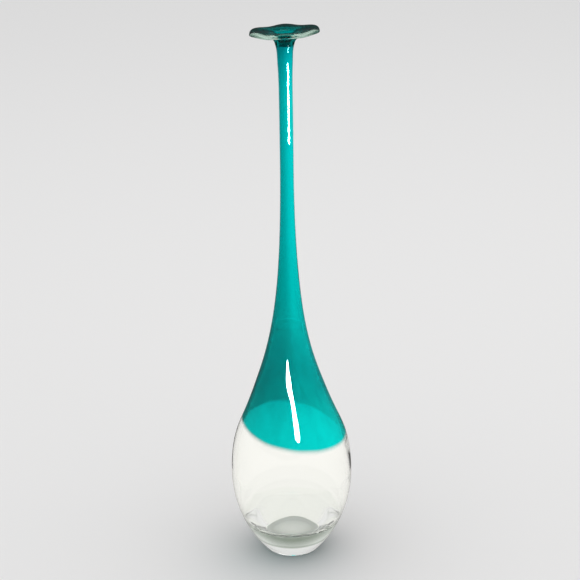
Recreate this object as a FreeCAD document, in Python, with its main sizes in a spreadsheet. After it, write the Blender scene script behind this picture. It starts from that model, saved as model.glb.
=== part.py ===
import FreeCAD, Part
import math
import os
import Sketcher

# Hand blown bud vase: a tear shaped bubble of clear glass on a thick ground foot, a long teal neck
# whose skirt runs down inside the clear shoulder, and a thick ruffled disc for a lip.
# Origin: centre of the flat foot, on the surface the vase stands on. +Z runs up the neck.

# Driving dimensions in millimetres, angles in degrees.
SIZES = {
    # outside of the glass, from the foot to the joint under the lip
    "foot_r": 23.1,
    "bulb_r": 50.6,
    "bulb_z": 71.0,
    "bulb_top_z": 100.0,
    "shoulder_r": 38.9,
    "shoulder_z": 123.5,
    "slope_r": 28.0,
    "slope_z": 153.5,
    "throat_r": 10.6,
    "throat_z": 205.5,
    "neck_r": 5.4,
    "neck_low_z": 284.5,
    "neck_z": 342.0,
    "flare_z": 400.0,
    "flare_turn_z": 416.0,
    "flare_wide_r": 6.3,
    "flare_wide_z": 424.0,
    "joint_low_r": 6.1,
    "joint_low_z": 433.0,
    "joint_r": 7.2,
    "joint_z": 437.0,
    # wall thickness at the bulb, the shoulder and the throat
    "bulb_wall": 3.0,
    "shoulder_wall": 2.7,
    "throat_wall": 2.2,
    # inside: bowl of the bulb, bore of the neck and its mouth
    "floor_z": 26.0,
    "floor_flat_r": 20.0,
    "floor_wide_r": 36.0,
    "heel_r": 41.0,
    "heel_z": 30.0,
    "bowl_rise_r": 45.0,
    "bowl_rise_z": 45.0,
    "bore_r": 3.7,
    "bore_low_z": 270.0,
    "bore_z": 322.0,
    "bore_top_z": 424.0,
    "mouth_turn_z": 431.0,
    "mouth_r": 4.5,
    # clear skin outside the teal skirt, thinning up the shoulder
    "bulb_skin": 2.2,
    "shoulder_skin": 1.8,
    "throat_skin": 0.6,
    "neck_skin": 0.3,
    "skin_top_z": 205.0,
    # tilted lower edge of the teal
    "line_z": 109.9,
    "line_tilt": 10.4,
    "line_turn": -23.4,
    "line_drop": 70.0,
    # outside of the blown bubble where the last gather covers it
    "bubble_low_z": 19.0,
    "bubble_flat_r": 31.0,
    "bubble_rise_r": 46.0,
    "bubble_rise_z": 21.0,
    "bubble_out_r": 54.0,
    "bubble_out_z": 60.0,
    # button of glass left by the punty, ground flat with the foot
    "pad_r": 17.5,
    "pad_side_z": 1.4,
    "pad_turn_r": 10.5,
    "pad_top_z": 2.6,
    # reach of the helper forms beyond the glass
    "form_r": 70.0,
    "form_top_z": 470.0,
}

# Stations round the section of the lip, from the bore over the rolled edge and back to the neck:
# radius, height and share of the ruffle.
LIP_STATIONS = {
    "lip_bore": (4.8, 440.2, 0.0),
    "lip_throat": (5.9, 443.8, 0.0),
    "lip_mouth": (8.6, 447.0, 0.05),
    "lip_top_in": (14.0, 448.8, 0.30),
    "lip_top": (21.0, 449.4, 0.65),
    "lip_top_out": (26.1, 449.1, 0.95),
    "lip_edge": (27.9, 447.6, 1.0),
    "lip_under_out": (26.2, 446.0, 0.95),
    "lip_under": (20.5, 445.2, 0.60),
    "lip_under_in": (14.5, 444.4, 0.25),
    "lip_root": (10.8, 443.1, 0.05),
    "lip_neck": (8.4, 440.6, 0.0),
}
for station, (radius, height, ruffle) in LIP_STATIONS.items():
    SIZES[station + "_r"] = radius
    SIZES[station + "_z"] = height
    SIZES[station + "_ruffle"] = ruffle

# Ruffle of the lip: number of lobes, where one of them stands, how far they lift and reach, and the
# lean of the whole disc with the azimuth it rises towards.
SIZES.update({
    "lobes": 6,
    "lobe_azimuth": 90.0,
    "lobe_lift": 0.55,
    "lobe_reach": 0.7,
    "lip_lean": 1.8,
    "lip_lean_azimuth": -52.0,
})
RING_POINTS = 48

SHEET_NAME = "size"
BAD_STATES = ("Invalid", "Error")


def make_sheet(doc):
    """One row per driving dimension: its name, its value and the alias the sketches read."""
    sheet = doc.addObject("Spreadsheet::Sheet", SHEET_NAME)
    for row, (alias, value) in enumerate(SIZES.items(), start=1):
        sheet.set("A%d" % row, alias)
        sheet.set("B%d" % row, str(value))
        sheet.setAlias("B%d" % row, alias)
    doc.recompute()
    return sheet


def number(size):
    """Value of a dimension: an alias, or a pair of aliases for their difference."""
    if size == 0:
        return 0.0
    if isinstance(size, tuple):
        return SIZES[size[0]] - SIZES[size[1]]
    return SIZES[size]


def formula(size):
    """The same dimension as an expression on the sheet."""
    if isinstance(size, tuple):
        return "%s.%s - %s.%s" % (SHEET_NAME, size[0], SHEET_NAME, size[1])
    return "%s.%s" % (SHEET_NAME, size)


def vector(point):
    return FreeCAD.Vector(number(point[0]), number(point[1]), 0)


def pin_point(sketch, geometry, position, point):
    """Holds one sketch point at a radius and height read from the sheet."""
    if point == (0, 0):
        sketch.addConstraint(Sketcher.Constraint("Coincident", geometry, position, -1, 1))
        return
    for size, kind, axis in ((point[0], "DistanceX", -2), (point[1], "DistanceY", -1)):
        if size == 0:
            sketch.addConstraint(Sketcher.Constraint("PointOnObject", geometry, position, axis))
            continue
        name = "%s_%d_%d" % (kind, geometry, position)
        distance = Sketcher.Constraint(kind, -1, 1, geometry, position, number(size))
        sketch.renameConstraint(sketch.addConstraint(distance), name)
        sketch.setExpression(".Constraints." + name, formula(size))


def add_line(sketch, start, points):
    geometry = sketch.addGeometry(Part.LineSegment(vector(start), vector(points[0])), False)
    return geometry, [(geometry, 2, points[0])]


def add_arc(sketch, start, points):
    """Arc that ends upright, so its centre is level with its end."""
    first, last = vector(start), vector(points[0])
    rise = last.y - first.y
    centre_x = (last.x ** 2 - first.x ** 2 - rise ** 2) / (2 * (last.x - first.x))
    radius = last.x - centre_x
    circle = Part.Circle(FreeCAD.Vector(centre_x, last.y, 0), FreeCAD.Vector(0, 0, 1), radius)
    arc = Part.ArcOfCircle(circle, -math.asin(rise / radius), 0)
    geometry = sketch.addGeometry(arc, False)
    sketch.addConstraint(Sketcher.Constraint("Horizontal", geometry, 3, geometry, 2))
    return geometry, [(geometry, 2, points[0])]


def add_spline(sketch, start, points):
    """Cubic curve whose control points are held one by one."""
    poles = [vector(start)] + [vector(point) for point in points]
    spans = len(poles) - 3
    ends = [4] + [1] * (spans - 1) + [4]
    curve = Part.BSplineCurve()
    curve.buildFromPolesMultsKnots(poles, ends, list(range(spans + 1)), False, 3)
    geometry = sketch.addGeometry(curve, False)
    sketch.exposeInternalGeometry(geometry)
    held = [(geometry + 2 + index, 3, point) for index, point in enumerate(points)]
    return geometry, held


STEPS = {"line": add_line, "arc": add_arc, "spline": add_spline}


def revolved_form(doc, name, outline):
    """A body turned about the axis of the vase from one closed outline of radius and height."""
    body = doc.addObject("PartDesign::Body", name)
    planes = {plane.Role: plane for plane in body.Origin.OriginFeatures}
    sketch = body.newObject("Sketcher::SketchObject", name + "_outline")
    sketch.AttachmentSupport = [(planes["XZ_Plane"], "")]
    sketch.MapMode = "FlatFace"
    start = outline[0]
    first, previous, here = None, None, start
    for kind, points in outline[1:]:
        geometry, held = STEPS[kind](sketch, here, points)
        if previous is None:
            first = geometry
            pin_point(sketch, geometry, 1, start)
        else:
            sketch.addConstraint(Sketcher.Constraint("Coincident", previous, 2, geometry, 1))
        for pole, position, point in held:
            if point != start:
                pin_point(sketch, pole, position, point)
        previous, here = geometry, points[-1]
    sketch.addConstraint(Sketcher.Constraint("Coincident", previous, 2, first, 1))
    turned = body.newObject("PartDesign::Revolution", name + "_turned")
    turned.Profile = sketch
    turned.ReferenceAxis = (sketch, ["V_Axis"])
    turned.Angle = 360
    doc.recompute()
    return body, planes


def outer_form(doc):
    """Everything inside the outer surface, from the foot to the joint under the lip."""
    return revolved_form(doc, "outer_form", [
        (0, 0),
        ("line", [("foot_r", 0)]),
        ("arc", [("bulb_r", "bulb_z")]),
        ("spline", [
            ("bulb_r", "bulb_top_z"),
            ("shoulder_r", "shoulder_z"),
            ("slope_r", "slope_z"),
            ("throat_r", "throat_z"),
            ("neck_r", "neck_low_z"),
            ("neck_r", "neck_z"),
        ]),
        ("line", [("neck_r", "flare_z")]),
        ("spline", [
            ("neck_r", "flare_turn_z"),
            ("flare_wide_r", "flare_wide_z"),
            ("joint_low_r", "joint_low_z"),
            ("joint_r", "joint_z"),
        ]),
        ("line", [(0, "joint_z")]),
        ("line", [(0, 0)]),
    ])[0]


def cavity_form(doc):
    """The hollow: bowl, shoulder, bore and the start of the mouth."""
    inner_bulb = ("bulb_r", "bulb_wall")
    return revolved_form(doc, "cavity_form", [
        (0, "floor_z"),
        ("spline", [
            ("floor_flat_r", "floor_z"),
            ("floor_wide_r", "floor_z"),
            ("heel_r", "heel_z"),
            ("bowl_rise_r", "bowl_rise_z"),
            (inner_bulb, "bulb_z"),
        ]),
        ("spline", [
            (inner_bulb, "bulb_top_z"),
            (("shoulder_r", "shoulder_wall"), "shoulder_z"),
            (("slope_r", "shoulder_wall"), "slope_z"),
            (("throat_r", "throat_wall"), "throat_z"),
            ("bore_r", "bore_low_z"),
            ("bore_r", "bore_z"),
        ]),
        ("line", [("bore_r", "bore_top_z")]),
        ("spline", [("bore_r", "mouth_turn_z"), ("bore_r", "mouth_turn_z"), ("mouth_r", "joint_z")]),
        ("line", [(0, "joint_z")]),
        ("line", [(0, "floor_z")]),
    ])[0]


def teal_form(doc):
    """Everything inside the clear skin and above the tilted colour line."""
    inner_skin = ("bulb_r", "bulb_skin")
    body, planes = revolved_form(doc, "teal_form", [
        (0, "bulb_z"),
        ("line", [(inner_skin, "bulb_z")]),
        ("spline", [
            (inner_skin, "bulb_top_z"),
            (("shoulder_r", "shoulder_skin"), "shoulder_z"),
            (("slope_r", "shoulder_skin"), "slope_z"),
            (("throat_r", "throat_skin"), "throat_z"),
            (("neck_r", "neck_skin"), "neck_low_z"),
            (("neck_r", "neck_skin"), "neck_z"),
        ]),
        ("line", [(0, "neck_z")]),
        ("line", [(0, "bulb_z")]),
    ])
    collar = disc_sketch(body, planes, "collar_outline", "skin_top_z")
    above = body.newObject("PartDesign::Pad", "above_skin")
    above.Profile = collar
    above.setExpression("Length", "size.form_top_z - size.skin_top_z")
    doc.recompute()
    line = disc_sketch(body, planes, "colour_line", "line_z")
    line.AttachmentOffset = FreeCAD.Placement(
        FreeCAD.Vector(0, 0, SIZES["line_z"]),
        FreeCAD.Rotation(SIZES["line_turn"], SIZES["line_tilt"], 0))
    line.setExpression("AttachmentOffset.Rotation.Yaw", "size.line_turn")
    line.setExpression("AttachmentOffset.Rotation.Pitch", "size.line_tilt")
    below = body.newObject("PartDesign::Pocket", "below_line")
    below.Profile = line
    below.setExpression("Length", "size.line_drop")
    doc.recompute()
    return body


def disc_sketch(body, planes, name, height):
    """A circle wider than the glass, level with a height on the sheet."""
    sketch = body.newObject("Sketcher::SketchObject", name)
    sketch.AttachmentSupport = [(planes["XY_Plane"], "")]
    sketch.MapMode = "FlatFace"
    sketch.setExpression("AttachmentOffset.Base.z", "size." + height)
    up = FreeCAD.Vector(0, 0, 1)
    circle = sketch.addGeometry(Part.Circle(FreeCAD.Vector(0, 0, 0), up, SIZES["form_r"]), False)
    sketch.addConstraint(Sketcher.Constraint("Coincident", circle, 3, -1, 1))
    radius = sketch.addConstraint(Sketcher.Constraint("Radius", circle, SIZES["form_r"]))
    sketch.renameConstraint(radius, "reach")
    sketch.setExpression(".Constraints.reach", "size.form_r")
    return sketch


def bubble_form(doc):
    """Everything inside the bubble; its flank leaves the outer surface above the foot."""
    return revolved_form(doc, "bubble_form", [
        (0, "bubble_low_z"),
        ("spline", [
            ("bubble_flat_r", "bubble_low_z"),
            ("bubble_rise_r", "bubble_rise_z"),
            ("bubble_out_r", "bubble_out_z"),
        ]),
        ("line", [("form_r", "bubble_out_z")]),
        ("line", [("form_r", "form_top_z")]),
        ("line", [(0, "form_top_z")]),
        ("line", [(0, "bubble_low_z")]),
    ])[0]


def pontil_pad(doc):
    """Low button of glass, flat below and slightly domed above."""
    return revolved_form(doc, "pontil_pad", [
        (0, 0),
        ("line", [("pad_r", 0)]),
        ("line", [("pad_r", "pad_side_z")]),
        ("spline", [("pad_r", "pad_top_z"), ("pad_turn_r", "pad_top_z"), (0, "pad_top_z")]),
        ("line", [(0, 0)]),
    ])[0]


def combine(doc, kind, name, base, tool):
    """A boolean of two shapes: Part::Cut takes the tool away, Part::Common keeps what both hold."""
    result = doc.addObject(kind, name)
    result.Base = base
    result.Tool = tool
    doc.recompute()
    return result


def lip_ring(sheet, radius, height, ruffle):
    """One closed ring of the lip, lobed and leaning by its share of the ruffle."""
    lobe_azimuth = math.radians(sheet.lobe_azimuth)
    lean_azimuth = math.radians(sheet.lip_lean_azimuth)
    points = []
    for index in range(RING_POINTS):
        azimuth = 2 * math.pi * index / RING_POINTS
        lobe = ruffle * ruffle * math.cos(sheet.lobes * (azimuth - lobe_azimuth))
        reach = radius + sheet.lobe_reach * lobe
        lift = sheet.lobe_lift * lobe + sheet.lip_lean * ruffle * math.cos(azimuth - lean_azimuth)
        points.append(FreeCAD.Vector(reach * math.cos(azimuth), reach * math.sin(azimuth), height + lift))
    curve = Part.BSplineCurve()
    curve.interpolate(Points=points, PeriodicFlag=True)
    return Part.Wire([curve.toShape()])


def rim_disc(doc, sheet):
    """The lip: a ruffled disc with a rolled edge, flared out of the top of the neck."""
    stations = [(sheet.mouth_r, sheet.joint_z, 0)]
    for name in LIP_STATIONS:
        stations.append([getattr(sheet, name + part) for part in ("_r", "_z", "_ruffle")])
    stations.append((sheet.joint_r, sheet.joint_z, 0))
    rings = [lip_ring(sheet, *station) for station in stations]
    skin = Part.makeLoft(rings, False, False, False)
    bore_edge, neck_edge = sorted((edge for edge in skin.Edges if edge.Closed), key=lambda edge: edge.Length)
    joint = Part.Face([Part.Wire([neck_edge]), Part.Wire([bore_edge])])
    shell = Part.makeShell(skin.Faces + [joint])
    shell.sewShape()
    disc = doc.addObject("Part::Feature", "rim_disc")
    disc.Shape = Part.makeSolid(shell)
    disc.Placement = FreeCAD.Placement()
    return disc


def make_subparts(doc, sheet):
    outer = outer_form(doc)
    cavity = cavity_form(doc)
    teal = teal_form(doc)
    bubble = bubble_form(doc)
    pad = pontil_pad(doc)
    wall = combine(doc, "Part::Cut", "glass_wall", outer, cavity)
    clear_wall = combine(doc, "Part::Cut", "clear_wall", wall, teal)
    below_bubble = combine(doc, "Part::Cut", "below_bubble", clear_wall, bubble)
    return [
        rim_disc(doc, sheet),
        combine(doc, "Part::Common", "teal_neck", wall, teal),
        combine(doc, "Part::Common", "clear_body", clear_wall, bubble),
        combine(doc, "Part::Cut", "foot_gather", below_bubble, pad),
        pad,
    ]


def check(doc, subparts):
    for item in doc.Objects:
        bad = [state for state in item.State if state in BAD_STATES]
        if bad:
            raise RuntimeError("%s is %s" % (item.Label, bad))
    for item in subparts:
        shape = item.Shape
        if shape.isNull() or not shape.isValid() or len(shape.Solids) != 1:
            raise RuntimeError("%s has no single valid solid" % item.Label)


def main():
    doc = FreeCAD.newDocument("bud_vase")
    sheet = make_sheet(doc)
    subparts = make_subparts(doc, sheet)
    doc.recompute()
    check(doc, subparts)
    os.makedirs("parts", exist_ok=True)
    for item in subparts:
        item.Shape.exportStep(os.path.join("parts", item.Label + ".step"))
        box = item.Shape.BoundBox
        print("%-12s volume %9.1f mm3  z %7.2f to %7.2f  x %6.2f to %6.2f" % (
            item.Label, item.Shape.Volume, box.ZMin, box.ZMax, box.XMin, box.XMax))


main()
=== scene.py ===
import math

import bpy
import numpy as np
from mathutils import Matrix, Vector


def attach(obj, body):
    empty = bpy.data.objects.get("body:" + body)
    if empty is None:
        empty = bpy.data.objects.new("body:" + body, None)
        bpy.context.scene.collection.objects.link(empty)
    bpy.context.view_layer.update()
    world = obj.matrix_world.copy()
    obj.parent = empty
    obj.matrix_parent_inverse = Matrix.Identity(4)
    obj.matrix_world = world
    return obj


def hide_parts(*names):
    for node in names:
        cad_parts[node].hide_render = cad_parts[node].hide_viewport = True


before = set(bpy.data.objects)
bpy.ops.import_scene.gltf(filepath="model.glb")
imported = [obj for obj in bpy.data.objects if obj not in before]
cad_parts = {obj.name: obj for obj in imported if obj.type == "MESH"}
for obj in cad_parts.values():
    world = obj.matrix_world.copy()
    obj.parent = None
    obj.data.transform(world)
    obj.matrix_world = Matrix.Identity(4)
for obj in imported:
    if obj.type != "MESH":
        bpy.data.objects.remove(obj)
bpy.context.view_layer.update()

# Hand blown bud vase. Lengths below are millimetres until MM turns them into the frame's metres.
MM = 0.001

# ---------------------------------------------------------------- outlines of the glass

FOOT_R = 23.1
BULB_R = 50.6
BULB_Z = 71.0
JOINT_Z = 437.0
FLOOR_Z = 26.0
PAD_R = 17.5
SKIN_TOP_Z = 205.0
LINE_Z = 109.9
LINE_SLOPE = math.tan(math.radians(10.4))
LINE_TURN = math.radians(-23.4)
LINE_REACH = 26.0
CONTACT_GAP = 0.012
FOOT_BEVEL = 0.5

OUTER_POLES = [(50.6, 71), (50.6, 100), (38.9, 123.5), (28.0, 153.5), (10.6, 205.5), (5.4, 284.5), (5.4, 342)]
OUTER_FLARE = [(5.4, 400), (5.4, 416), (6.3, 424), (6.1, 433), (7.2, 437)]
BOWL_POLES = [(0, 26), (20, 26), (36, 26), (41, 30), (45, 45), (47.6, 71)]
CAVITY_POLES = [(47.6, 71), (47.6, 100), (36.2, 123.5), (25.3, 153.5), (8.4, 205.5), (3.7, 270), (3.7, 322)]
CAVITY_FLARE = [(3.7, 424), (3.7, 431), (3.7, 431), (4.5, 437)]
SKIRT_POLES = [(48.4, 71), (48.4, 100), (37.1, 123.5), (26.2, 153.5), (10.0, 205.5), (5.1, 284.5), (5.1, 342)]
BUBBLE_POLES = [(0, 19), (31, 19), (46, 21), (54, 60)]
PAD_POLES = [(17.5, 1.4), (17.5, 2.6), (10.5, 2.6), (0, 2.6)]

# Round the section of the lip: radius, height and share of the ruffle.
LIP_STATIONS = [
    (4.5, 437.0, 0.0), (4.8, 440.2, 0.0), (5.9, 443.8, 0.0), (8.6, 447.0, 0.05), (14.0, 448.8, 0.30),
    (21.0, 449.4, 0.65), (26.1, 449.1, 0.95), (27.9, 447.6, 1.0), (26.2, 446.0, 0.95), (20.5, 445.2, 0.60),
    (14.5, 444.4, 0.25), (10.8, 443.1, 0.05), (8.4, 440.6, 0.0), (7.2, 437.0, 0.0),
]
LIP_STEPS = 6
MOUTH_STATIONS = 3
LOBES = 6
LOBE_LIFT = 0.55
LOBE_REACH = 0.7
LIP_LEAN = 1.8
LIP_LEAN_AZIMUTH = math.radians(-52)

TURNS = 144
FINE = 1500


def spline(poles, count):
    """Points along a clamped cubic B-spline."""
    poles = np.array(poles, float)
    spans = len(poles) - 3
    knots = np.concatenate([np.zeros(3), np.linspace(0, 1, spans + 1), np.ones(3)])
    at = np.linspace(0, 1 - 1e-9, count)
    basis = [((knots[i] <= at) & (at < knots[i + 1])).astype(float) for i in range(len(knots) - 1)]
    for degree in (1, 2, 3):
        raised = []
        for i in range(len(basis) - 1):
            term = np.zeros(count)
            if knots[i + degree] > knots[i]:
                term += (at - knots[i]) / (knots[i + degree] - knots[i]) * basis[i]
            if knots[i + degree + 1] > knots[i + 1]:
                rest = knots[i + degree + 1] - at
                term += rest / (knots[i + degree + 1] - knots[i + 1]) * basis[i + 1]
            raised.append(term)
        basis = raised
    return np.array(basis).T @ poles


def lower_arc(count):
    """The outside of the bulb from the foot to its widest, an arc that ends upright."""
    rise = BULB_Z
    centre = (BULB_R ** 2 - FOOT_R ** 2 - rise ** 2) / (2 * (BULB_R - FOOT_R))
    radius = BULB_R - centre
    z = np.linspace(0, BULB_Z, count)
    return np.stack([centre + np.sqrt(radius ** 2 - (z - BULB_Z) ** 2), z], 1)


def outline(*curves):
    """Radius as a function of height along curves that rise one after another."""
    points = np.concatenate(curves)
    heights, radii = points[:, 1], points[:, 0]
    return lambda z: np.interp(z, heights, radii)


outer = outline(lower_arc(FINE), spline(OUTER_POLES, FINE), spline(OUTER_FLARE, FINE))
cavity = outline(spline(BOWL_POLES, FINE)[1:], spline(CAVITY_POLES, FINE), spline(CAVITY_FLARE, FINE))
skirt = outline(spline(SKIRT_POLES, FINE))
bubble = outline(spline(BUBBLE_POLES, FINE)[1:])
heights = np.linspace(20, 60, 4000)
BUBBLE_RIM_Z = float(heights[np.argmax(bubble(heights) > outer(heights))])


# ---------------------------------------------------------------- meshes turned about the axis

# Lean of the glass: how far, round which height, and over what stretch of it.
NECK_LEAN = (0.45, 385, 70)
THROAT_LEAN = (-0.6, 178, 55)
BULB_OVAL = (0.004, 75, 60)


def hump(z, size, height, spread):
    return size * np.exp(-((z - height) / spread) ** 2)


def hand(points):
    """The slight lean and out of round that hand work leaves, the same for every piece."""
    x, y, z = points[:, 0], points[:, 1], points[:, 2]
    lean = hump(z, *NECK_LEAN) + hump(z, *THROAT_LEAN)
    oval = hump(z, *BULB_OVAL)
    return np.stack([x * (1 + oval) + lean, y * (1 - oval) + 0.5 * lean, z], 1)


def ripple(azimuth, z):
    """Uneven wall: how far the inside of the glass stands in or out."""
    swirl = azimuth + z / 90
    fade = np.clip((z - FLOOR_Z - 6) / 20, 0, 1)
    slow = 0.10 * np.cos(2 * swirl + 0.7)
    return fade * (slow + 0.06 * np.cos(5 * swirl - z / 40) + 0.04 * np.cos(9 * swirl))


def rise(low, high, step):
    return np.linspace(low, high, max(int(round(abs(high - low) / step)) + 1, 2))


def wall_band(radius, z, offset=0.0, uneven=False):
    """Rings on a surface of revolution; those near the colour line tilt with it."""
    azimuth = np.arange(TURNS) * 2 * math.pi / TURNS
    rings = []
    for height in z:
        weight = max(0.0, 1 - abs(height - LINE_Z) / LINE_REACH)
        weight = weight * weight * (3 - 2 * weight)
        at = np.full(TURNS, float(height))
        for _ in range(4):
            r = radius(at)
            at = height - weight * LINE_SLOPE * r * np.cos(azimuth - LINE_TURN)
        r = radius(at) + offset
        if uneven:
            r = r + ripple(azimuth, at) * np.clip(r / 40, 0.05, 1)
        rings.append(np.stack([r * np.cos(azimuth), r * np.sin(azimuth), at], 1))
    return rings


def flat_band(points, uneven=False):
    """Rings through plain (radius, height) pairs."""
    azimuth = np.arange(TURNS) * 2 * math.pi / TURNS
    rings = []
    for r, z in points:
        reach = np.full(TURNS, float(r))
        if uneven:
            reach = reach + ripple(azimuth, z) * min(r / 40, 1)
        rings.append(np.stack([reach * np.cos(azimuth), reach * np.sin(azimuth), np.full(TURNS, z)], 1))
    return rings


def lathe(name, bands, closed=True):
    """One mesh from bands of rings; each band has its own material and sharp ends.

    A band is (rings, material index); neighbouring bands share their end ring, and a ring of radius 0
    is one point on the axis."""
    rings, kinds, sharp_rings = [], [], set()
    for index, (band, kind) in enumerate(bands):
        start = 0 if index == 0 else 1
        sharp_rings.add(max(len(rings) - 1, 0))
        for ring in band[start:]:
            rings.append(ring)
            kinds.append(kind)
    if closed:
        rings.pop()
        last_kind = kinds.pop()
    vertices, first = [], []
    for ring in rings:
        first.append(len(vertices))
        on_axis = np.abs(ring[:, :2]).max() < 1e-9
        vertices.extend(ring[:1] if on_axis else ring)
    sizes = [1 if np.abs(ring[:, :2]).max() < 1e-9 else TURNS for ring in rings]
    faces, materials = [], []
    spans = [(i, i + 1, kinds[i + 1]) for i in range(len(rings) - 1)]
    if closed:
        spans.append((len(rings) - 1, 0, last_kind))
    for a, b, kind in spans:
        for k in range(TURNS):
            n = (k + 1) % TURNS
            if sizes[a] == 1 and sizes[b] == 1:
                continue
            if sizes[a] == 1:
                face = (first[a], first[b] + n, first[b] + k)
            elif sizes[b] == 1:
                face = (first[a] + k, first[a] + n, first[b])
            else:
                face = (first[a] + k, first[a] + n, first[b] + n, first[b] + k)
            faces.append(face)
            materials.append(kind)
    mesh = bpy.data.meshes.new(name)
    mesh.from_pydata((hand(np.array(vertices)) * MM).tolist(), [], faces)
    mesh.polygons.foreach_set("material_index", materials)
    mesh.polygons.foreach_set("use_smooth", [True] * len(faces))
    ring_of = np.concatenate([np.full(size, i) for i, size in enumerate(sizes)])
    ends = np.array([edge.vertices[:] for edge in mesh.edges])
    same = ring_of[ends[:, 0]] == ring_of[ends[:, 1]]
    sharp = same & np.isin(ring_of[ends[:, 0]], list(sharp_rings))
    mesh.attributes.new("sharp_edge", "BOOLEAN", "EDGE").data.foreach_set("value", sharp)
    mesh.update()
    piece = bpy.data.objects.new(name, mesh)
    bpy.context.scene.collection.objects.link(piece)
    face_outwards(piece)
    return piece


def face_outwards(piece):
    """Turns the faces so that the closed mesh has a positive volume."""
    mesh = piece.data
    mesh.calc_loop_triangles()
    corners = np.array([t.vertices[:] for t in mesh.loop_triangles])
    points = np.array([v.co[:] for v in mesh.vertices])
    a, b, c = points[corners[:, 0]], points[corners[:, 1]], points[corners[:, 2]]
    if np.einsum("ij,ij->", a, np.cross(b, c)) < 0:
        mesh.flip_normals()


# Material places on a piece: glass that meets air, faces fused to the next piece, a third that differs from
# piece to piece, and the teal skirt where it is fused to the clear glass.
AIR, FUSED, THIRD, SKIRT = 0, 1, 2, 3


def teal_neck():
    inside_heights = np.concatenate([
        rise(LINE_Z, 205, 2.0), rise(209, 322, 4.0), rise(330, 396, 6.0), rise(400, JOINT_Z, 1.0)])
    outside_heights = np.concatenate([rise(JOINT_Z, 400, 1.0), rise(396, 210, 4.0), [SKIN_TOP_Z]])
    inside = wall_band(cavity, inside_heights, uneven=True)
    outside = wall_band(outer, outside_heights)
    lap = wall_band(skirt, rise(SKIN_TOP_Z, LINE_Z, 2.0), -CONTACT_GAP)
    return lathe("teal_neck", [
        (inside, THIRD),
        ([inside[-1], outside[0]], FUSED),
        (outside, AIR),
        ([outside[-1], lap[0]], FUSED),
        (lap, SKIRT),
        ([lap[-1], inside[0]], FUSED),
    ])


def clear_body():
    inside = flat_band(spline(BOWL_POLES, 64), uneven=True)
    inside += wall_band(cavity, rise(BULB_Z, LINE_Z, 2.0)[1:], uneven=True)
    lap = wall_band(skirt, rise(LINE_Z, SKIN_TOP_Z, 2.0), CONTACT_GAP)
    outside = wall_band(outer, rise(SKIN_TOP_Z, BUBBLE_RIM_Z, 2.0))
    under = flat_band([(r, z) for r, z in spline(BUBBLE_POLES, 160) if z < BUBBLE_RIM_Z][::4][::-1])
    return lathe("clear_body", [
        (inside, AIR),
        ([inside[-1], lap[0]], FUSED),
        (lap, FUSED),
        ([lap[-1], outside[0]], FUSED),
        (outside, AIR),
        ([outside[-1], under[0]], FUSED),
        (under, FUSED),
    ], closed=False)


def foot_gather():
    under = [(r, z - CONTACT_GAP) for r, z in spline(BUBBLE_POLES, 160) if z < BUBBLE_RIM_Z][::4]
    rim = wall_band(outer, [BUBBLE_RIM_Z])
    outside = wall_band(outer, rise(BUBBLE_RIM_Z, FOOT_BEVEL, 1.0))
    edge = flat_band([(FOOT_R - 0.1, 0.15), (FOOT_R - FOOT_BEVEL, 0.0)])
    pad = [(PAD_R + CONTACT_GAP, 0.0)] + [
        (r + CONTACT_GAP * (r > 0), z + CONTACT_GAP) for r, z in spline(PAD_POLES, 14)]
    pad[-1] = (0.0, pad[-1][1])
    return lathe("foot_gather", [
        (flat_band(under) + rim, FUSED),
        (outside, AIR),
        ([outside[-1]] + edge, AIR),
        ([edge[-1]] + flat_band(pad[:1]), THIRD),
        (flat_band(pad), FUSED),
    ], closed=False)


def pontil_pad():
    dome = [(r, z) for r, z in spline(PAD_POLES, 14)]
    dome[-1] = (0.0, dome[-1][1])
    return lathe("pontil_pad", [
        (flat_band([(0.0, 0.0), (7.0, 0.0), (14.0, 0.0), (PAD_R, 0.0)]), THIRD),
        (flat_band([(PAD_R, 0.0)] + dome), FUSED),
    ], closed=False)


def lip_ring(r, z, share):
    azimuth = np.arange(TURNS) * 2 * math.pi / TURNS
    lobe = np.cos(LOBES * (azimuth - math.pi / 2))
    reach = r + LOBE_REACH * share * share * lobe
    lift = LOBE_LIFT * share * share * lobe + LIP_LEAN * share * np.cos(azimuth - LIP_LEAN_AZIMUTH)
    return np.stack([reach * np.cos(azimuth), reach * np.sin(azimuth), z + lift], 1)


def through(stations, steps):
    """Smooth run of stations through the given ones."""
    s = np.array(stations, float)
    s = np.vstack([2 * s[0] - s[1], s, 2 * s[-1] - s[-2]])
    run = []
    for i in range(1, len(s) - 2):
        for k in range(steps):
            t = k / steps
            a, b, c, d = s[i - 1], s[i], s[i + 1], s[i + 2]
            run.append(0.5 * (2 * b + (c - a) * t + (2 * a - 5 * b + 4 * c - d) * t ** 2
                              + (3 * b - a - 3 * c + d) * t ** 3))
    run.append(s[-2])
    return run


def rim_disc():
    rings = [lip_ring(*station) for station in through(LIP_STATIONS, LIP_STEPS)]
    mouth = MOUTH_STATIONS * LIP_STEPS
    return lathe("rim_disc", [
        (rings[:mouth + 1], THIRD), (rings[mouth:], AIR), ([rings[-1], rings[0]], FUSED)])


# ---------------------------------------------------------------- materials

def new_material(name):
    material = bpy.data.materials.new(name)
    material.use_nodes = True
    tree = material.node_tree
    tree.nodes.clear()
    return material, tree


def add(tree, kind, **values):
    node = tree.nodes.new(kind)
    for key, value in values.items():
        setattr(node, key, value)
    return node


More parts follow.
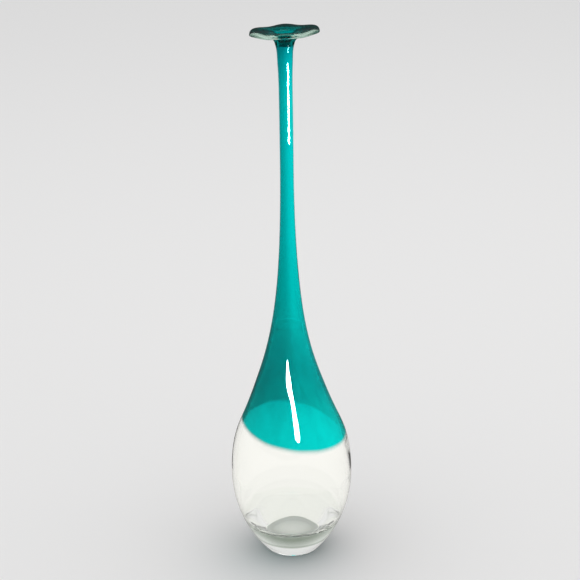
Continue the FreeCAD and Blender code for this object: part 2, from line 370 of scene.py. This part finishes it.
def ramp_between(tree, value, stops, unit=MM):
    """A colour that follows a value: stops are (value, colour), in millimetres unless a unit is given."""
    low, high = stops[0][0], stops[-1][0]
    span = add(tree, "ShaderNodeMapRange")
    span.inputs["From Min"].default_value = low * unit
    span.inputs["From Max"].default_value = high * unit
    tree.links.new(value, span.inputs["Value"])
    ramp = add(tree, "ShaderNodeValToRGB")
    tree.links.new(span.outputs["Result"], ramp.inputs["Fac"])
    elements = ramp.color_ramp.elements
    while len(elements) < len(stops):
        elements.new(0.5)
    for element, (length, colour) in zip(elements, stops):
        element.position = (length - low) / (high - low)
        element.color = (*colour, 1)
    return ramp.outputs["Color"]


def socket_of(sockets, identifier):
    return [socket for socket in sockets if socket.identifier == identifier][0]


def height_ramp(tree, stops):
    place = add(tree, "ShaderNodeTexCoord")
    split = add(tree, "ShaderNodeSeparateXYZ")
    tree.links.new(place.outputs["Object"], split.inputs[0])
    return ramp_between(tree, split.outputs["Z"], stops)


def above_line(tree, width):
    """0 on the colour line, rising to 1 a width above it, with an uneven edge."""
    place = add(tree, "ShaderNodeTexCoord")
    tilt = add(tree, "ShaderNodeVectorMath", operation="DOT_PRODUCT")
    tilt.inputs[1].default_value = (
        LINE_SLOPE * math.cos(LINE_TURN), LINE_SLOPE * math.sin(LINE_TURN), 1)
    tree.links.new(place.outputs["Object"], tilt.inputs[0])
    noise = add(tree, "ShaderNodeTexNoise")
    noise.inputs["Scale"].default_value = 28
    noise.inputs["Detail"].default_value = 1
    tree.links.new(place.outputs["Object"], noise.inputs["Vector"])
    uneven = add(tree, "ShaderNodeMath", operation="MULTIPLY_ADD")
    tree.links.new(noise.outputs["Fac"], uneven.inputs[0])
    uneven.inputs[1].default_value = -3.0 * MM
    tree.links.new(tilt.outputs["Value"], uneven.inputs[2])
    edge = add(tree, "ShaderNodeMapRange", interpolation_type="SMOOTHSTEP")
    edge.inputs["From Min"].default_value = (LINE_Z - 1.2) * MM
    edge.inputs["From Max"].default_value = (LINE_Z - 1.2 + width) * MM
    tree.links.new(uneven.outputs[0], edge.inputs["Value"])
    return edge.outputs["Result"]


TEAL_STOPS = [
    (95, (0.0, 0.45, 0.43)),
    (125, (0.0, 0.38, 0.36)),
    (150, (0.0, 0.25, 0.25)),
    (180, (0.0, 0.29, 0.29)),
    (212, (0.0, 0.37, 0.36)),
    (232, (0.0, 0.43, 0.42)),
    (280, (0.0, 0.51, 0.51)),
    (400, (0.0, 0.50, 0.51)),
    (425, (0.0, 0.36, 0.39)),
    (437, (0.0, 0.21, 0.24)),
]

# Painted light and shade on the teal: share of its transmission from the left side, -1, darker as painted
# shade, to the right side, 1, lighter as painted light.
PAINTED_SIDE_LIGHT_STOPS = [(-1, 0.60), (-0.5, 0.76), (-0.25, 0.82), (0.25, 1.18), (0.6, 1.26), (1, 1.24)]


def multiplied(tree, a, b):
    product = add(tree, "ShaderNodeMix", data_type="RGBA", blend_type="MULTIPLY")
    socket_of(product.inputs, "Factor_Float").default_value = 1
    tree.links.new(a, socket_of(product.inputs, "A_Color"))
    tree.links.new(b, socket_of(product.inputs, "B_Color"))
    return socket_of(product.outputs, "Result_Color")


def drawn_streaks(tree):
    """Uneven colour drawn out lengthwise as the neck was pulled."""
    place = add(tree, "ShaderNodeTexCoord")
    stretch = add(tree, "ShaderNodeMapping")
    stretch.inputs["Scale"].default_value = (1, 1, 0.05)
    tree.links.new(place.outputs["Object"], stretch.inputs["Vector"])
    noise = add(tree, "ShaderNodeTexNoise")
    noise.inputs["Scale"].default_value = 110
    noise.inputs["Detail"].default_value = 1
    tree.links.new(stretch.outputs["Vector"], noise.inputs["Vector"])
    span = add(tree, "ShaderNodeMapRange")
    # Doubled, because the painted side light stops it is multiplied with are halved to fit a ramp.
    span.inputs["To Min"].default_value = 2 * 0.80
    span.inputs["To Max"].default_value = 2 * 1.20
    tree.links.new(noise.outputs["Fac"], span.inputs["Value"])
    return span.outputs["Result"]


def teal_and_painted_side_light(tree):
    """Teal that pales along the neck, has painted shade on its left side and painted light on its right, and
    fades out at the colour line.
    """
    place = add(tree, "ShaderNodeTexCoord")
    split = add(tree, "ShaderNodeSeparateXYZ")
    tree.links.new(place.outputs["Object"], split.inputs[0])
    along = ramp_between(tree, split.outputs["Z"], TEAL_STOPS)
    flat = add(tree, "ShaderNodeVectorMath", operation="MULTIPLY")
    flat.inputs[1].default_value = (1, 1, 0)
    tree.links.new(place.outputs["Object"], flat.inputs[0])
    side = add(tree, "ShaderNodeVectorMath", operation="NORMALIZE")
    tree.links.new(flat.outputs["Vector"], side.inputs[0])
    sideways = add(tree, "ShaderNodeSeparateXYZ")
    tree.links.new(side.outputs["Vector"], sideways.inputs[0])
    # The ramp across the vase is painted light and shade: lighter on the right, darker on the left.
    halved = [(at, (share / 2,) * 3) for at, share in PAINTED_SIDE_LIGHT_STOPS]
    painted_side_ramp = ramp_between(tree, sideways.outputs["X"], halved, 1)
    ramp = multiplied(tree, multiplied(tree, along, painted_side_ramp), drawn_streaks(tree))
    fade = add(tree, "ShaderNodeMix", data_type="RGBA")
    tree.links.new(above_line(tree, 4.5), socket_of(fade.inputs, "Factor_Float"))
    socket_of(fade.inputs, "A_Color").default_value = (1, 1, 1, 1)
    tree.links.new(ramp, socket_of(fade.inputs, "B_Color"))
    return socket_of(fade.outputs, "Result_Color")


def blown_bump(tree, scale, strength):
    """Very faint waves that hand work leaves in the skin of the glass."""
    place = add(tree, "ShaderNodeTexCoord")
    stretch = add(tree, "ShaderNodeMapping")
    stretch.inputs["Scale"].default_value = (1, 1, 0.35)
    tree.links.new(place.outputs["Object"], stretch.inputs["Vector"])
    noise = add(tree, "ShaderNodeTexNoise")
    noise.inputs["Scale"].default_value = scale
    noise.inputs["Detail"].default_value = 1.5
    tree.links.new(stretch.outputs["Vector"], noise.inputs["Vector"])
    bump = add(tree, "ShaderNodeBump")
    bump.inputs["Strength"].default_value = strength
    bump.inputs["Distance"].default_value = 0.4 * MM
    tree.links.new(noise.outputs["Fac"], bump.inputs["Height"])
    return bump.outputs["Normal"]


def finish_glass(tree, surface, shadow_colour):
    """Lets lamps shine through the glass, so that its shadow is soft and tinted."""
    path = add(tree, "ShaderNodeLightPath")
    clear = add(tree, "ShaderNodeBsdfTransparent")
    if isinstance(shadow_colour, tuple):
        clear.inputs["Color"].default_value = (*shadow_colour, 1)
    else:
        tree.links.new(shadow_colour, clear.inputs["Color"])
    mix = add(tree, "ShaderNodeMixShader")
    tree.links.new(path.outputs["Is Shadow Ray"], mix.inputs["Fac"])
    tree.links.new(surface, mix.inputs[1])
    tree.links.new(clear.outputs[0], mix.inputs[2])
    out = add(tree, "ShaderNodeOutputMaterial")
    tree.links.new(mix.outputs[0], out.inputs["Surface"])
    return out


GLASS_IOR = 1.5
# Low, so that the top of the lip mirrors little and stays dark.
LIP_IOR = 1.24


def glass(name, colour, bump, shadow, mirror, ior=GLASS_IOR):
    """Clear or tinted glass. A colour may be plain or a function that builds its nodes."""
    material, tree = new_material(name)
    shader = add(tree, "ShaderNodeBsdfPrincipled")
    shader.inputs["Transmission Weight"].default_value = 1
    shader.inputs["IOR"].default_value = ior
    shader.inputs["Roughness"].default_value = 0
    if isinstance(mirror, list):
        tree.links.new(height_ramp(tree, mirror), shader.inputs["Specular Tint"])
    else:
        shader.inputs["Specular Tint"].default_value = (*mirror, 1)
    if callable(colour):
        tree.links.new(colour(tree), shader.inputs["Base Color"])
    else:
        shader.inputs["Base Color"].default_value = (*colour, 1)
    tree.links.new(blown_bump(tree, *bump), shader.inputs["Normal"])
    finish_glass(tree, shader.outputs[0], shadow(tree) if callable(shadow) else shadow)
    return material


def deeper(tree, colour, within, walls):
    """Another colour for light that has already met that many walls of glass."""
    path = add(tree, "ShaderNodeLightPath")
    late = add(tree, "ShaderNodeMath", operation="GREATER_THAN")
    tree.links.new(path.outputs["Ray Depth"], late.inputs[0])
    late.inputs[1].default_value = walls - 0.5
    mix = add(tree, "ShaderNodeMix", data_type="RGBA")
    tree.links.new(late.outputs[0], socket_of(mix.inputs, "Factor_Float"))
    if isinstance(colour, tuple):
        socket_of(mix.inputs, "A_Color").default_value = (*colour, 1)
    else:
        tree.links.new(colour, socket_of(mix.inputs, "A_Color"))
    socket_of(mix.inputs, "B_Color").default_value = (*within, 1)
    return socket_of(mix.outputs, "Result_Color")


def fused(name, colour=None, walls=None):
    """A face where two pieces of glass are melted into one: light goes straight through. A colour tints
    each of the two walls a ray crosses, so one face holds its square root. After that many walls the light
    is let through as it is."""
    material, tree = new_material(name)
    clear = add(tree, "ShaderNodeBsdfTransparent")
    clear.inputs["Color"].default_value = (1, 1, 1, 1)
    if colour:
        half = add(tree, "ShaderNodeGamma")
        half.inputs["Gamma"].default_value = 0.5
        tree.links.new(colour(tree), half.inputs["Color"])
        tinted = half.outputs[0]
        if walls:
            tinted = deeper(tree, tinted, (1, 1, 1), walls)
        tree.links.new(tinted, clear.inputs["Color"])
    out = add(tree, "ShaderNodeOutputMaterial")
    tree.links.new(clear.outputs[0], out.inputs["Surface"])
    return material


# Lip colour by distance from the axis. The deep teal is partly the glass's own colour and partly painted
# shade, as it holds only for the first two walls a ray meets. The pale band from 25.2 to 27.6 mm is partly
# the rim's clear edge and partly painted light, as only the near side gets it.
LIP_STOPS = [
    (0, (0.0, 0.075, 0.075)),
    (10, (0.0, 0.060, 0.058)),
    (14, (0.0, 0.035, 0.033)),
    (20, (0.0, 0.020, 0.018)),
    (23.8, (0.004, 0.030, 0.024)),
    (25.2, (0.45, 0.52, 0.42)),
    (26.9, (0.80, 0.84, 0.72)),
    (27.6, (0.30, 0.36, 0.28)),
    (28.4, (0.02, 0.05, 0.04)),
]
LIP_DARK = (0.004, 0.030, 0.026)
LIP_WITHIN = (0.33, 0.58, 0.53)
LIP_MIRROR = (0.12, 0.28, 0.28)
# Mouth colours: BORE_DARK is deep teal glass darkened as painted shade in the mouth; BORE_WITHIN is the
# colour further in.
BORE_DARK = (0.0, 0.13, 0.135)
BORE_WITHIN = (0.20, 0.62, 0.62)


def bore_colour(tree):
    """Deep teal round the mouth, darkened as painted shade in the mouth for the first two walls a ray meets,
    lighter for light that comes to it through the neck.
    """
    return deeper(tree, BORE_DARK, BORE_WITHIN, 2)


def lip_colour(tree):
    """Deep teal, partly painted shade, that thins out to clear glass towards the near edge; the pale edge is
    partly the rim's clear edge and partly painted light, as only the near side has it.
    """
    place = add(tree, "ShaderNodeTexCoord")
    split = add(tree, "ShaderNodeSeparateXYZ")
    tree.links.new(place.outputs["Object"], split.inputs[0])
    # Only the near side gets the pale edge band: painted light seen through the rim.
    near = add(tree, "ShaderNodeMapRange", interpolation_type="SMOOTHSTEP")
    near.inputs["From Min"].default_value = -7 * MM
    near.inputs["From Max"].default_value = -13 * MM
    tree.links.new(split.outputs["Y"], near.inputs["Value"])
    edge = add(tree, "ShaderNodeMix", data_type="RGBA")
    tree.links.new(near.outputs["Result"], socket_of(edge.inputs, "Factor_Float"))
    far_stops = [stop if stop[0] < 24 else (stop[0], LIP_DARK) for stop in LIP_STOPS]
    tree.links.new(radial_ramp(tree, far_stops), socket_of(edge.inputs, "A_Color"))
    tree.links.new(radial_ramp(tree, LIP_STOPS), socket_of(edge.inputs, "B_Color"))
    return deeper(tree, socket_of(edge.outputs, "Result_Color"), LIP_WITHIN, 2)


# Thick glass of the foot by height: clear where it meets the floor, then a darker band, then faintly green.
FOOT_STOPS = [
    (0, (0.97, 0.98, 0.96)),
    (12.6, (0.96, 0.975, 0.95)),
    (13.8, (0.36, 0.42, 0.34)),
    (15.2, (0.36, 0.42, 0.34)),
    (16.6, (0.72, 0.79, 0.71)),
    (25, (0.74, 0.81, 0.73)),
    (32, (0.84, 0.89, 0.83)),
]
FOOT_WITHIN = (0.94, 0.96, 0.93)


def foot_colour(tree):
    """The darker band shows only where the glass is first entered; further in the foot is nearly clear."""
    return deeper(tree, height_ramp(tree, FOOT_STOPS), FOOT_WITHIN, 1)


# Ground glass by distance from the middle of the foot.
GROUND_STOPS = [
    (0, (0.84, 0.90, 0.84)),
    (10, (0.70, 0.77, 0.70)),
    (15.5, (0.52, 0.59, 0.53)),
    (17.5, (0.36, 0.42, 0.37)),
]


def radial_ramp(tree, stops):
    """A colour that follows the distance from the axis."""
    place = add(tree, "ShaderNodeTexCoord")
    flat = add(tree, "ShaderNodeVectorMath", operation="MULTIPLY")
    flat.inputs[1].default_value = (1, 1, 0)
    tree.links.new(place.outputs["Object"], flat.inputs[0])
    radius = add(tree, "ShaderNodeVectorMath", operation="LENGTH")
    tree.links.new(flat.outputs["Vector"], radius.inputs[0])
    return ramp_between(tree, radius.outputs["Value"], stops)


def ground_material():
    material, tree = new_material("ground_glass")
    shader = add(tree, "ShaderNodeBsdfPrincipled")
    shader.inputs["Transmission Weight"].default_value = 0.6
    tree.links.new(radial_ramp(tree, GROUND_STOPS), shader.inputs["Base Color"])
    shader.inputs["IOR"].default_value = GLASS_IOR
    place = add(tree, "ShaderNodeTexCoord")
    noise = add(tree, "ShaderNodeTexNoise")
    noise.inputs["Scale"].default_value = 900
    noise.inputs["Detail"].default_value = 3
    tree.links.new(place.outputs["Object"], noise.inputs["Vector"])
    span = add(tree, "ShaderNodeMapRange")
    span.inputs["To Min"].default_value = 0.45
    span.inputs["To Max"].default_value = 0.75
    tree.links.new(noise.outputs["Fac"], span.inputs["Value"])
    tree.links.new(span.outputs["Result"], shader.inputs["Roughness"])
    bump = add(tree, "ShaderNodeBump")
    bump.inputs["Strength"].default_value = 0.5
    bump.inputs["Distance"].default_value = 0.05 * MM
    tree.links.new(noise.outputs["Fac"], bump.inputs["Height"])
    tree.links.new(bump.outputs["Normal"], shader.inputs["Normal"])
    finish_glass(tree, shader.outputs[0], (0.96, 0.98, 0.96))
    return material


# ---------------------------------------------------------------- the vase

# Tint of what the teal mirrors, by height.
TEAL_MIRROR = [
    (205, (1.0, 1.0, 1.0)),
    (240, (0.1, 0.9, 0.95)),
    (404, (0.4, 1.0, 1.0)),
    (420, (0.1, 0.7, 0.75)),
    (427, (0.0, 0.12, 0.13)),
    (437, (0.0, 0.12, 0.13)),
]
PLAIN_MIRROR = (1, 1, 1)
melted = fused("fused_glass")
# The teal colour carries the painted side light and shade into the fused faces, and on teal_glass into the
# shadow tint.
melted_teal = fused("fused_teal_glass", teal_and_painted_side_light, 4)
teal_glass = glass("teal_glass", teal_and_painted_side_light, (30, 0.006), teal_and_painted_side_light, TEAL_MIRROR)
teal_inside = glass("teal_glass_inside", (1, 1, 1), (30, 0.006), (1, 1, 1), TEAL_MIRROR)
lip_glass = glass("deep_teal_glass", lip_colour, (60, 0.02), lip_colour, LIP_MIRROR, LIP_IOR)
lip_bore = glass("deep_teal_glass_bore", bore_colour, (60, 0.01), BORE_DARK, LIP_MIRROR, LIP_IOR)
clear_glass = glass("clear_glass", (0.995, 0.998, 0.99), (22, 0.02), (0.99, 0.99, 0.985), PLAIN_MIRROR)
foot_glass = glass("thick_clear_glass", foot_colour, (30, 0.02), (0.97, 0.985, 0.97), PLAIN_MIRROR)
ground = ground_material()

BUILT = [
    (rim_disc, "deep_teal_glass", [lip_glass, melted, lip_bore]),
    (teal_neck, "teal_glass", [teal_glass, melted, teal_inside, melted_teal]),
    (clear_body, "clear_glass", [clear_glass, melted]),
    (foot_gather, "thick_clear_glass", [foot_glass, melted, ground]),
    (pontil_pad, "ground_glass", [foot_glass, melted, ground]),
]
for build, slot, materials in BUILT:
    node = build.__name__
    piece = build()
    for material in materials:
        piece.data.materials.append(material)
    piece.name = node + "_glass"
    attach(piece, "root")
    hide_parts(node)


# ---------------------------------------------------------------- floor, light and camera

def mirrored_only(tree):
    """1 for a ray that was last reflected by glass, 0 for one that came through it."""
    path = add(tree, "ShaderNodeLightPath")
    outside = add(tree, "ShaderNodeMath", operation="SUBTRACT", use_clamp=True)
    tree.links.new(path.outputs["Is Glossy Ray"], outside.inputs[0])
    tree.links.new(path.outputs["Is Transmission Ray"], outside.inputs[1])
    return outside.outputs[0]


# Painted reflection: the floor as glass mirrors it is a dim glow that fades away from the vase; distance from
# the vase and colour.
MIRRORED_FLOOR = [(0, (0.32, 0.32, 0.31)), (170, (0.28, 0.28, 0.27)), (300, (0.05, 0.05, 0.05))]
# Painted light and shadow: the floor as it is seen through glass is a glow instead of a lit floor, darker
# near the vase; distance from the vase and colour.
FLOOR_THROUGH = [
    (0, (0.84, 0.85, 0.80)),
    (60, (0.92, 0.92, 0.88)),
    (160, (1.0, 0.99, 0.95)),
    (900, (1.0, 0.99, 0.96)),
]
FLOOR_REACH = 12.0
FLOOR_DROP = -0.0004


def floor_ring(tree, stops):
    """A colour that follows the distance from the vase."""
    place = add(tree, "ShaderNodeTexCoord")
    distance = add(tree, "ShaderNodeVectorMath", operation="LENGTH")
    tree.links.new(place.outputs["Object"], distance.inputs[0])
    return ramp_between(tree, distance.outputs["Value"], stops)


def pale_floor():
    mesh = bpy.data.meshes.new("floor")
    corners = [(-1, -1), (1, -1), (1, 1), (-1, 1)]
    points = [(x * FLOOR_REACH, y * FLOOR_REACH, FLOOR_DROP) for x, y in corners]
    mesh.from_pydata(points, [], [(0, 1, 2, 3)])
    floor = bpy.data.objects.new("floor", mesh)
    bpy.context.scene.collection.objects.link(floor)
    material, tree = new_material("pale_floor")
    pale = add(tree, "ShaderNodeBsdfDiffuse")
    pale.inputs["Color"].default_value = (0.82, 0.81, 0.795, 1)
    # Seen through glass the floor glows: painted light, with painted shadow near the vase.
    through = add(tree, "ShaderNodeEmission")
    tree.links.new(floor_ring(tree, FLOOR_THROUGH), through.inputs["Color"])
    # Mirrored by glass the floor is a dim glow: painted reflection.
    dim = add(tree, "ShaderNodeEmission")
    tree.links.new(floor_ring(tree, MIRRORED_FLOOR), dim.inputs["Color"])
    path = add(tree, "ShaderNodeLightPath")
    glass_or_plain = add(tree, "ShaderNodeMixShader")
    tree.links.new(path.outputs["Is Transmission Ray"], glass_or_plain.inputs["Fac"])
    tree.links.new(pale.outputs[0], glass_or_plain.inputs[1])
    tree.links.new(through.outputs[0], glass_or_plain.inputs[2])
    mix = add(tree, "ShaderNodeMixShader")
    tree.links.new(mirrored_only(tree), mix.inputs["Fac"])
    tree.links.new(glass_or_plain.outputs[0], mix.inputs[1])
    tree.links.new(dim.outputs[0], mix.inputs[2])
    out = add(tree, "ShaderNodeOutputMaterial")
    tree.links.new(mix.outputs[0], out.inputs["Surface"])
    mesh.materials.append(material)


HIGHLIGHT_SPREAD = math.radians(60)


def area_light(name, place, target, along, width, height, watts, reflections_only):
    """A rectangular lamp whose width runs along a direction. One for reflections only lights nothing."""
    lamp = bpy.data.lights.new(name, "AREA")
    lamp.shape = "RECTANGLE"
    lamp.size, lamp.size_y = width, height
    lamp.energy = watts
    light = bpy.data.objects.new(name, lamp)
    bpy.context.scene.collection.objects.link(light)
    back = (Vector(place) - Vector(target)).normalized()
    side = Vector(along)
    side = (side - back * side.dot(back)).normalized()
    up = back.cross(side)
    light.matrix_world = Matrix.Translation(place) @ Matrix((side, up, back)).transposed().to_4x4()
    light.visible_camera = False
    if reflections_only:
        light.visible_diffuse = False
        light.visible_transmission = False
        lamp.spread = HIGHLIGHT_SPREAD


# The room by how steeply it is looked up at through glass: colour and place on the ramp.
ROOM_LOW = ((0.34, 0.38, 0.33), 0.12)
ROOM_HIGH = ((1, 1, 1), 0.34)
BACKDROP = (0.97, 0.98, 1.0)
MIRRORED_ROOM = (0.10, 0.105, 0.11)


def studio_world():
    world = bpy.data.worlds.new("studio")
    bpy.context.scene.world = world
    world.use_nodes = True
    tree = world.node_tree
    tree.nodes.clear()
    lit = add(tree, "ShaderNodeBackground")
    lit.inputs["Strength"].default_value = 0.85
    place = add(tree, "ShaderNodeTexCoord")
    split = add(tree, "ShaderNodeSeparateXYZ")
    tree.links.new(place.outputs["Generated"], split.inputs[0])
    room = add(tree, "ShaderNodeValToRGB")
    tree.links.new(split.outputs["Z"], room.inputs["Fac"])
    for element, (colour, position) in zip(room.color_ramp.elements, (ROOM_LOW, ROOM_HIGH)):
        element.color = (*colour, 1)
        element.position = position
    path = add(tree, "ShaderNodeLightPath")
    seen = add(tree, "ShaderNodeMix", data_type="RGBA")
    tree.links.new(path.outputs["Is Transmission Ray"], socket_of(seen.inputs, "Factor_Float"))
    socket_of(seen.inputs, "A_Color").default_value = (*BACKDROP, 1)
    tree.links.new(room.outputs["Color"], socket_of(seen.inputs, "B_Color"))
    tree.links.new(socket_of(seen.outputs, "Result_Color"), lit.inputs["Color"])
    mirrored = add(tree, "ShaderNodeBackground")
    mirrored.inputs["Color"].default_value = (*MIRRORED_ROOM, 1)
    mirrored.inputs["Strength"].default_value = 0.6
    mix = add(tree, "ShaderNodeMixShader")
    tree.links.new(mirrored_only(tree), mix.inputs["Fac"])
    tree.links.new(lit.outputs[0], mix.inputs[1])
    tree.links.new(mirrored.outputs[0], mix.inputs[2])
    out = add(tree, "ShaderNodeOutputWorld")
    tree.links.new(mix.outputs[0], out.inputs["Surface"])


# Metres and degrees.
CAMERA_AWAY = 1.233
CAMERA_UP = 0.712
CAMERA_DOWN = 21.16
CAMERA_ROLL = 0.956
CAMERA_YAW = 0.055
LENS = 100.6


def camera():
    data = bpy.data.cameras.new("camera")
    data.sensor_width = 36
    data.lens = LENS
    data.clip_start, data.clip_end = 0.05, 60
    view = bpy.data.objects.new("camera", data)
    bpy.context.scene.collection.objects.link(view)
    view.matrix_world = (
        Matrix.Translation((0, -CAMERA_AWAY, CAMERA_UP))
        @ Matrix.Rotation(-math.radians(CAMERA_YAW), 4, "Z")
        @ Matrix.Rotation(math.radians(90 - CAMERA_DOWN), 4, "X")
        @ Matrix.Rotation(-math.radians(CAMERA_ROLL), 4, "Z"))
    bpy.context.scene.camera = view


# Name, place, target, direction of the width, width, height, watts and whether only reflections show it.
# The two short strips draw the streak on the shoulder, and the neck strip the one below the lip.
SHOULDER = (0, -0.035, 0.150)
LAMPS = [
    ("overhead", (0.3, 0.4, 2.2), (0, 0, 0.1), (1, 0, 0), 1.6, 1.6, 9, False),
    ("strip_left", (-0.0065, -0.1135, 0.1815), SHOULDER, (0.0344, -0.0292, -0.0085),
     0.026, 0.013, 0.075, True),
    ("strip_right", (0.0193, -0.1356, 0.1695), SHOULDER, (0.0344, -0.0292, -0.0210),
     0.049, 0.013, 0.14, True),
    ("neck_strip", (0.070, -0.075, 0.362), (0.002, -0.005, 0.388), (0, 0, 1), 0.060, 0.058, 0.34, True),
]

pale_floor()
studio_world()
for lamp in LAMPS:
    area_light(*lamp)
camera()

scene = bpy.context.scene
scene.view_settings.view_transform = "Standard"
scene.cycles.max_bounces = 32
scene.cycles.transmission_bounces = 28
scene.cycles.glossy_bounces = 16
scene.cycles.transparent_max_bounces = 48
scene.cycles.use_denoising = True
scene.cycles.sample_clamp_indirect = 8
scene.cycles.caustics_reflective = False
scene.cycles.caustics_refractive = False
